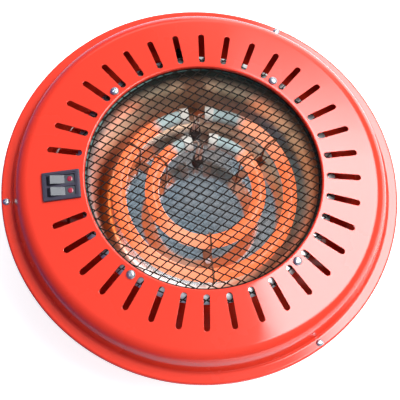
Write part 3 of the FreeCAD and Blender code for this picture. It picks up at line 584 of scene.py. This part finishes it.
def addPiece(name, bm, slotName, replaced, body="root"):
    mesh = bpy.data.meshes.new(name)
    bm.to_mesh(mesh)
    bm.free()
    mesh.shade_smooth()
    mesh.materials.append(finishes[slotName])
    piece = bpy.data.objects.new(name, mesh)
    bpy.context.scene.collection.objects.link(piece)
    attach(piece, body)
    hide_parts(replaced)
    return piece


# offset -1 puts the sheet under the surface, 0 puts half of it on each side
def addWall(piece, thickness, offset):
    wall = piece.modifiers.new("sheet", "SOLIDIFY")
    wall.thickness = thickness
    wall.offset = offset
    wall.use_even_offset = True


def softenEdges(piece, width, segments):
    soft = piece.modifiers.new("edges", "BEVEL")
    soft.width = width
    soft.segments = segments
    soft.limit_method = "ANGLE"
    soft.angle_limit = math.radians(brazier["softAngle"])
    soft.harden_normals = True


# pressed cover: rolled hem, flat rim, steep wall, slotted cone and turned-down lip
cover = {
    "rimWidth": 9.6 * mm,
    "hemDepth": 4 * mm,
    "wallRun": 6.1 * mm,
    "wallRise": 22.8 * mm,
    "coneRise": 9 * mm,
    "openingRadius": 99 * mm,
    "lipDepth": 4 * mm,
    "outerBends": (2 * mm, 3 * mm, 12 * mm),
    "lipBends": (1.5 * mm,),
    "bendSteps": 8,
    "sheet": 1 * mm,
    "edge": 0.3 * mm,
    "edgeSteps": 2,
    "slotPlaces": 36,
    "slotsLeftOut": 2,  # the switch takes their room
    "slotWidth": 5 * mm,
    "slotInner": 103.2 * mm,
    "slotOuter": 132.6 * mm,
    "sectorInner": 102.7 * mm,
    "sectorOuter": 146 * mm,
    "arcSteps": 10,  # for each slot's sector
    "sideSteps": 8,
    "windowLength": 28 * mm,
    "windowWidth": 23.2 * mm,
}
shoulderRadius = coverRadius - cover["rimWidth"] - cover["wallRun"]
coverTop = brazier["rimLevel"] + cover["wallRise"] + cover["coneRise"]
coneSlope = cover["coneRise"] / (shoulderRadius - cover["openingRadius"])


def coneLevel(radius):
    return coverTop - (radius - cover["openingRadius"]) * coneSlope


# every loop runs outer end, side, inner end, side, so a sector and its cut-out have equal counts
def sectorLoop(middle, span, arcSteps):
    inner, outer = cover["sectorInner"], cover["sectorOuter"]
    half, sideSteps = span / 2, cover["sideSteps"]
    places = [(outer, angle) for angle in spaced(-half, half, arcSteps)]
    places += [(radius, half) for radius in spaced(outer, inner, sideSteps)]
    places += [(inner, angle) for angle in spaced(half, -half, arcSteps)]
    places += [(radius, -half) for radius in spaced(inner, outer, sideSteps)]
    return [polar(radius, middle + angle, coneLevel(radius)) for radius, angle in places]


# a cut-out is drawn flat along x, then turned to its middle angle and laid on the cone
def cutLoop(middle, outer, inner, half, outerEnd, innerEnd):
    sideSteps = cover["sideSteps"]
    flat = outerEnd + [Vector((x, half, 0)) for x in spaced(outer, inner, sideSteps)]
    flat += innerEnd + [Vector((x, -half, 0)) for x in spaced(inner, outer, sideSteps)]
    turned = [Matrix.Rotation(math.radians(middle), 3, "Z") @ point for point in flat]
    return [Vector((point.x, point.y, coneLevel(math.hypot(point.x, point.y)))) for point in turned]


def slotLoop(middle, arcSteps):
    half = cover["slotWidth"] / 2
    outer = cover["slotOuter"] - half
    inner = cover["slotInner"] + half
    outerEnd = [Vector((outer, 0, 0)) + polar(half, turn) for turn in spaced(-90, 90, arcSteps)]
    innerEnd = [Vector((inner, 0, 0)) + polar(half, turn) for turn in spaced(90, 270, arcSteps)]
    return cutLoop(middle, outer, inner, half, outerEnd, innerEnd)


def windowLoop(middle, arcSteps):
    half = cover["windowWidth"] / 2
    outer = brazier["switchPlace"] + cover["windowLength"] / 2
    inner = brazier["switchPlace"] - cover["windowLength"] / 2
    outerEnd = [Vector((outer, y, 0)) for y in spaced(-half, half, arcSteps)]
    innerEnd = [Vector((inner, y, 0)) for y in spaced(half, -half, arcSteps)]
    return cutLoop(middle, outer, inner, half, outerEnd, innerEnd)


def pressCover():
    bm = bmesh.new()
    rim = brazier["rimLevel"]
    outline = [
        (coverRadius, rim - cover["hemDepth"]),
        (coverRadius, rim),
        (coverRadius - cover["rimWidth"], rim),
        (shoulderRadius, rim + cover["wallRise"]),
        (cover["sectorOuter"], coneLevel(cover["sectorOuter"])),
    ]
    bentWire(bm, outline, cover["outerBends"], cover["bendSteps"])
    lip = [
        (cover["sectorInner"], coneLevel(cover["sectorInner"])),
        (cover["openingRadius"], coverTop),
        (cover["openingRadius"], coverTop - cover["lipDepth"]),
    ]
    bentWire(bm, lip, cover["lipBends"], cover["bendSteps"])
    arcSteps = cover["arcSteps"]
    spinWire(bm, cover["slotPlaces"] * arcSteps)
    pitch = 360 / cover["slotPlaces"]
    left = cover["slotsLeftOut"]
    for place in range(cover["slotPlaces"] - left):
        middle = 180 + pitch * (left + 1) / 2 + pitch * place
        loops = closedLoop(bm, sectorLoop(middle, pitch, arcSteps))
        loops += closedLoop(bm, slotLoop(middle, arcSteps))
        bmesh.ops.bridge_loops(bm, edges=loops)
    loops = closedLoop(bm, sectorLoop(180, pitch * left, arcSteps * left))
    loops += closedLoop(bm, windowLoop(180, arcSteps * left))
    bmesh.ops.bridge_loops(bm, edges=loops)
    bmesh.ops.remove_doubles(bm, verts=bm.verts[:], dist=brazier["mergeGap"])
    faceUpwards(bm, max(bm.faces, key=lambda face: face.calc_area()))
    piece = addPiece("pressedCover", bm, "body_red", "top_cover")
    addWall(piece, cover["sheet"], -1)
    softenEdges(piece, cover["edge"], cover["edgeSteps"])


pressCover()
print("cover pressed")


# spun bowl: flat floor, steep wall and a flange under the guard
bowlShape = {
    "floorLevel": 30 * mm,
    "floorRadius": 86 * mm,
    "mouthRadius": 97 * mm,
    "bends": (12 * mm, 2 * mm),
    "bendSteps": 16,
    "sheet": 0.6 * mm,
    "steps": 144,
}


def spinBowl():
    bm = bmesh.new()
    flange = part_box("reflector")[1]  # its y is the flange's radius, its z the flange's level
    outline = [
        (0, bowlShape["floorLevel"]),
        (bowlShape["floorRadius"], bowlShape["floorLevel"]),
        (bowlShape["mouthRadius"], flange.z),
        (flange.y, flange.z),
    ]
    bentWire(bm, outline, bowlShape["bends"], bowlShape["bendSteps"])
    spinWire(bm, bowlShape["steps"])
    bmesh.ops.remove_doubles(bm, verts=bm.verts[:], dist=brazier["mergeGap"])
    trimBeyond(bm, Vector((brazier["switchSide"], 0, 0)))
    faceUpwards(bm, min(bm.faces, key=lambda face: face.calc_center_median().length))
    piece = addPiece("spunBowl", bm, "bowl_bright", "reflector")
    addWall(piece, bowlShape["sheet"], -1)


spinBowl()
print("bowl spun")


# expanded metal: long openings with short knuckles, every strand leaning the same way
net = {
    "longPitch": 12.5 * mm,
    "shortPitch": 7.55 * mm,
    "strand": 0.9 * mm,
    "knuckle": 0.4 * mm,  # half its length
    "lean": 0.2 * mm,
    "sheet": 0.55 * mm,
    "edge": 0.1 * mm,
    "edgeSteps": 1,
    "turn": 5.0,
    "reach": 110.3 * mm,
    "trimSides": 36,
    "mergeGap": 0.05 * mm,
}


# six-sided openings side by side, every second row moved on by half a pitch
def tileNet(bm):
    along, across = net["longPitch"] / 2, net["shortPitch"] / 2
    knuckle = net["knuckle"]
    corners = [(along - knuckle, 0), (knuckle, across), (-knuckle, across)]
    corners += [(-x, -y) for x, y in corners]
    rows = int(net["reach"] / across) + 1
    columns = int(net["reach"] / net["longPitch"]) + 1
    for row in range(-rows, rows + 1):
        for column in range(-columns, columns + 1):
            x = column * net["longPitch"] + (along if row % 2 else 0)
            y = row * across
            if math.hypot(x, y) > net["reach"] + along:
                continue
            tile = bmesh.ops.create_circle(bm, cap_ends=True, segments=len(corners), radius=knuckle)
            for vert, corner in zip(tile["verts"], corners):
                vert.co = (x + corner[0], y + corner[1], 0)
    bmesh.ops.remove_doubles(bm, verts=bm.verts[:], dist=net["mergeGap"])


def stretchNet():
    bm = bmesh.new()
    guardLow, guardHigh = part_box("guard_mesh")
    tileNet(bm)
    gaps = bm.faces[:]
    bmesh.ops.inset_individual(bm, faces=gaps, thickness=net["strand"] / 2, use_even_offset=True)
    for gap in gaps:
        middle = gap.calc_center_median().y
        for vert in gap.verts:
            rise = vert.co.y - middle
            if abs(rise) > net["strand"]:
                vert.co.z = math.copysign(net["lean"], rise)
    bmesh.ops.delete(bm, geom=gaps, context="FACES")
    turn = Matrix.Rotation(math.radians(net["turn"]), 3, "Z")
    bmesh.ops.rotate(bm, verts=bm.verts[:], cent=(0, 0, 0), matrix=turn)
    bmesh.ops.translate(bm, verts=bm.verts[:], vec=(0, 0, (guardLow.z + guardHigh.z) / 2))
    for angle in spaced(0, 360, net["trimSides"]):
        trimBeyond(bm, polar(net["reach"], angle))
    trimBeyond(bm, Vector((brazier["switchSide"], 0, 0)))
    bmesh.ops.recalc_face_normals(bm, faces=bm.faces[:])
    piece = addPiece("guardNet", bm, "mesh_dark", "guard_mesh")
    addWall(piece, net["sheet"], 0)
    softenEdges(piece, net["edge"], net["edgeSteps"])


stretchNet()
print("guard net stretched")


# double rocker switch on the cone: local x runs outwards, local z stands off the cone
switch = {
    "bezel": (31.5 * mm, 25 * mm, 2.2 * mm),
    "bezelCorner": (1.0 * mm, 4),  # radius and steps
    "bezelEdge": (0.6 * mm, 3),
    "bay": (24 * mm, 18.2 * mm, 14 * mm),
    "ledge": (1.2 * mm, 0.5 * mm),  # a step round the bay, its width and its drop
    "body": (27.6 * mm, 22.8 * mm, 18 * mm),
    "partition": 2.4 * mm,
    "partitionDrop": 1.2 * mm,
    "inset": 0.1 * mm,  # any small value, stepFace sets the real size
    "edge": 0.15 * mm,
    "edgeSteps": 2,
}


def switchSeat():
    lean = math.atan(coneSlope)
    alongX = Vector((-math.cos(lean), 0, -math.sin(lean)))
    alongZ = Vector((-math.sin(lean), 0, math.cos(lean)))
    turn = Matrix((alongX, alongZ.cross(alongX), alongZ)).transposed().to_4x4()
    place = brazier["switchPlace"]
    return Matrix.Translation((-place, 0, coneLevel(place))) @ turn


def addBlock(bm, length, width, low, high):
    verts = bmesh.ops.create_cube(bm, size=1.0)["verts"]
    bmesh.ops.scale(bm, vec=(length, width, high - low), verts=verts)
    bmesh.ops.translate(bm, vec=(0, 0, (low + high) / 2), verts=verts)


# a new step inside a flat face: the face gets the given size and level, its edge follows
def stepFace(bm, face, length, width, level):
    bmesh.ops.inset_region(bm, faces=[face], thickness=switch["inset"], use_even_offset=True)
    verts = face.verts[:]
    wasLength = 2 * max(vert.co.x for vert in verts)
    wasWidth = 2 * max(vert.co.y for vert in verts)
    bmesh.ops.scale(bm, vec=(length / wasLength, width / wasWidth, 1), verts=verts)
    bmesh.ops.translate(bm, vec=(0, 0, level - verts[0].co.z), verts=verts)


def roundEdges(bm, edges, width, segments):
    bmesh.ops.bevel(
        bm, geom=edges, affect="EDGES", offset=width, offset_type="OFFSET",
        segments=segments, profile=0.5, material=-1,
    )


def faceLevel(face):
    return face.calc_center_median().z


# the bezel's top steps down into the bay, its underside goes on to the body
def mouldFrame():
    bm = bmesh.new()
    length, width, height = switch["bezel"]
    bayLength, bayWidth, bayDepth = switch["bay"]
    bodyLength, bodyWidth, bodyDepth = switch["body"]
    ledge, drop = switch["ledge"]
    addBlock(bm, length, width, 0, height)
    upright = [edge for edge in bm.edges if abs(edge.verts[0].co.z - edge.verts[1].co.z) > height / 2]
    roundEdges(bm, upright, *switch["bezelCorner"])
    top = max(bm.faces, key=faceLevel)
    roundEdges(bm, top.edges[:], *switch["bezelEdge"])
    top = max(bm.faces, key=faceLevel)
    bottom = min(bm.faces, key=faceLevel)
    stepFace(bm, top, bayLength + 2 * ledge, bayWidth + 2 * ledge, height)
    stepFace(bm, top, bayLength + 2 * ledge, bayWidth + 2 * ledge, height - drop)
    stepFace(bm, top, bayLength, bayWidth, height - drop)
    stepFace(bm, top, bayLength, bayWidth, height - bayDepth)
    stepFace(bm, bottom, bodyLength, bodyWidth, 0)
    stepFace(bm, bottom, bodyLength, bodyWidth, -bodyDepth)
    addBlock(bm, bayLength, switch["partition"], height - bayDepth, height - switch["partitionDrop"])
    bmesh.ops.transform(bm, matrix=switchSeat(), verts=bm.verts[:])
    piece = addPiece("switchFrame", bm, "switch_black", "switch_housing")
    softenEdges(piece, switch["edge"], switch["edgeSteps"])


# a rocker has a long outer flat and a short inner one, with a domed marker on the inner flat
rocker = {
    "names": ("one", "two"),
    "width": 7.6 * mm,
    "pivotDepth": 2 * mm,
    "restTilt": -12.0,
    "sweep": 11.7 * mm,
    "top": 4.5 * mm,
    "bottom": 3 * mm,
    "outerReach": 9.8 * mm,
    "valley": (-2.2 * mm, 3.2 * mm),
    "endSteps": 6,
    "sharp": 10.0,  # keeps the line between the two flats
    "edge": 0.25 * mm,
    "edgeSteps": 2,
    "markerPlace": -6.7 * mm,
    "markerRadius": 2.3 * mm,
    "markerRise": 0.55 * mm,
    "markerSteps": (32, 16),  # round it and over it
}


# where a rocker's own frame lies at rest, its origin on the pivot
def rockerRest(name):
    markerLow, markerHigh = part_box("marker_" + name)
    across = -(markerLow.y + markerHigh.y) / 2
    rest = switchSeat() @ Matrix.Translation((0, across, -rocker["pivotDepth"]))
    return rest @ Matrix.Rotation(math.radians(rocker["restTilt"]), 4, "Y")


def rockerOutline():
    sweep, top = rocker["sweep"], rocker["top"]
    low = math.degrees(math.asin(rocker["bottom"] / sweep))
    high = math.degrees(math.asin(top / sweep))
    steps = rocker["endSteps"]
    outer = [polar(sweep, -low + low * i / steps) for i in range(steps + 1)]
    inner = [polar(sweep, 180 - high + (high + low) * i / steps) for i in range(steps + 1)]
    ridge = [Vector((rocker["outerReach"], top, 0)), Vector((*rocker["valley"], 0))]
    return outer + ridge + inner


def mouldRocker(name):
    bm = bmesh.new()
    half = rocker["width"] / 2
    side = bm.faces.new([bm.verts.new((point.x, -half, point.y)) for point in rockerOutline()])
    grown = bmesh.ops.extrude_face_region(bm, geom=[side])["geom"]
    moved = [item for item in grown if isinstance(item, bmesh.types.BMVert)]
    bmesh.ops.translate(bm, verts=moved, vec=(0, 2 * half, 0))
    bmesh.ops.recalc_face_normals(bm, faces=bm.faces[:])
    bmesh.ops.transform(bm, matrix=rockerRest(name), verts=bm.verts[:])
    body = "rocker_" + name
    piece = addPiece("rocker" + name.title(), bm, "rocker_black", body, body)
    piece.data.set_sharp_from_angle(angle=math.radians(rocker["sharp"]))
    softenEdges(piece, rocker["edge"], rocker["edgeSteps"])


def setMarker(name):
    bm = bmesh.new()
    valleyX, valleyZ = rocker["valley"]
    endX = -math.sqrt(rocker["sweep"] ** 2 - rocker["top"] ** 2)
    slope = (rocker["top"] - valleyZ) / (valleyX - endX)
    place = (rocker["markerPlace"], 0, valleyZ + slope * (valleyX - rocker["markerPlace"]))
    seat = rockerRest(name) @ Matrix.Translation(place) @ Matrix.Rotation(math.atan(slope), 4, "Y")
    around, over = rocker["markerSteps"]
    bmesh.ops.create_uvsphere(bm, u_segments=around, v_segments=over, radius=rocker["markerRadius"])
    flatten = rocker["markerRise"] / rocker["markerRadius"]
    bmesh.ops.scale(bm, vec=(1, 1, flatten), verts=bm.verts[:])
    bmesh.ops.transform(bm, matrix=seat, verts=bm.verts[:])
    addPiece("marker" + name.title(), bm, "marker_red", "marker_" + name, "rocker_" + name)


mouldFrame()
for rockerName in rocker["names"]:
    mouldRocker(rockerName)
    setMarker(rockerName)
print("switch moulded")
